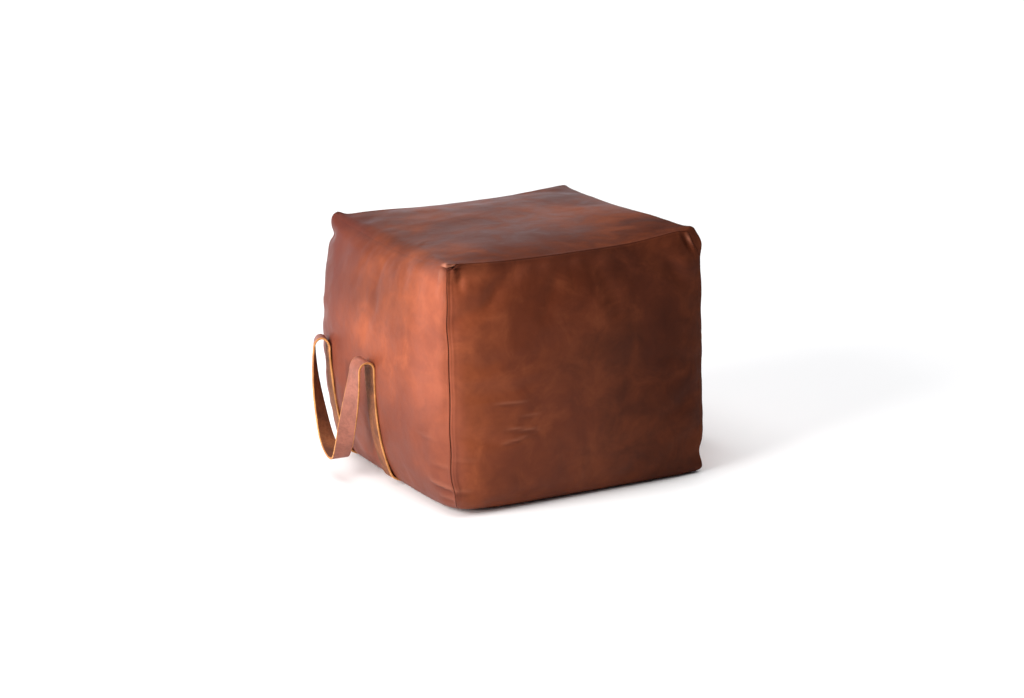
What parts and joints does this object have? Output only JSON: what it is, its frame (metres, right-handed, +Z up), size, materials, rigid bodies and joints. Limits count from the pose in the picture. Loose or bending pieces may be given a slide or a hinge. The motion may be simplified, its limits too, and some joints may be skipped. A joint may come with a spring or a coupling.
{
  "type": "leather pouf",
  "caption": "Stuffed cube-shaped leather floor pouf: a wrap-over band with square faces sewn in, strap handles low on its sides and a zipped base.",
  "frame": {"origin": "on the floor, under the middle of the whole pouf with its handles", "axes": "+X from the left handle to the right handle, +Y from the front square to the back square, +Z up"},
  "size_m": [0.6472, 0.5236, 0.4158],
  "materials": {
    "cover_leather": "satin, hand-dyed red-brown with a darker patina",
    "strap_leather": "satin, with raw golden edges",
    "patch_leather": "matte, undyed",
    "canvas": "matte woven cotton",
    "stuffing": "matte fibre",
    "zip_tape": "matte woven tape",
    "zip_coil": "matte",
    "zip_metal": "satin"
  },
  "bodies": {
    "pouf": {"band_panel": "cover_leather", "front_panel": "cover_leather", "back_panel": "cover_leather", "base_panel_front": "cover_leather", "base_panel_back": "cover_leather", "inner_bag": "canvas", "fill_core": "stuffing", "zip_tape_front": "zip_tape", "zip_tape_back": "zip_tape", "zip_coil_front": "zip_coil", "zip_coil_back": "zip_coil", "zip_stop_left": "zip_metal", "zip_stop_right": "zip_metal", "left_leg_front": "strap_leather", "left_leg_back": "strap_leather", "left_fold_front": "strap_leather", "left_fold_back": "strap_leather", "left_backing_front": "patch_leather", "left_backing_back": "patch_leather", "right_leg_front": "strap_leather", "right_leg_back": "strap_leather", "right_fold_front": "strap_leather", "right_fold_back": "strap_leather", "right_backing_front": "patch_leather", "right_backing_back": "patch_leather"},
    "left_handle": {"left_loop": "strap_leather"},
    "right_handle": {"right_loop": "strap_leather"},
    "zip_slider": {"zip_slider": "zip_metal"},
    "zip_pull": {"zip_pull": "zip_metal"}
  },
  "joints": [
    {"name": "left_handle_lift", "type": "hinge", "parent": "pouf", "child": "left_handle", "pos_m": [-0.28668, 0.08103, 0.218], "axis": [-0.0008, 1, 0], "range_deg": [0, 150], "deforming": ["left_fold_front", "left_fold_back"]},
    {"name": "right_handle_lift", "type": "hinge", "parent": "pouf", "child": "right_handle", "pos_m": [0.28569, -0.017, 0.218], "axis": [-0.0215, -0.9998, 0], "range_deg": [0, 150], "deforming": ["right_fold_front", "right_fold_back"]},
    {"name": "zip_slide", "type": "slide", "parent": "pouf", "child": "zip_slider", "axis": [1, 0, 0], "range_m": [-0.305, 0.009]},
    {"name": "zip_pull_turn", "type": "hinge", "parent": "zip_slider", "child": "zip_pull", "pos_m": [0.151, 0, 0.0059], "axis": [0, 1, 0], "range_deg": [0, 180]}
  ]
}
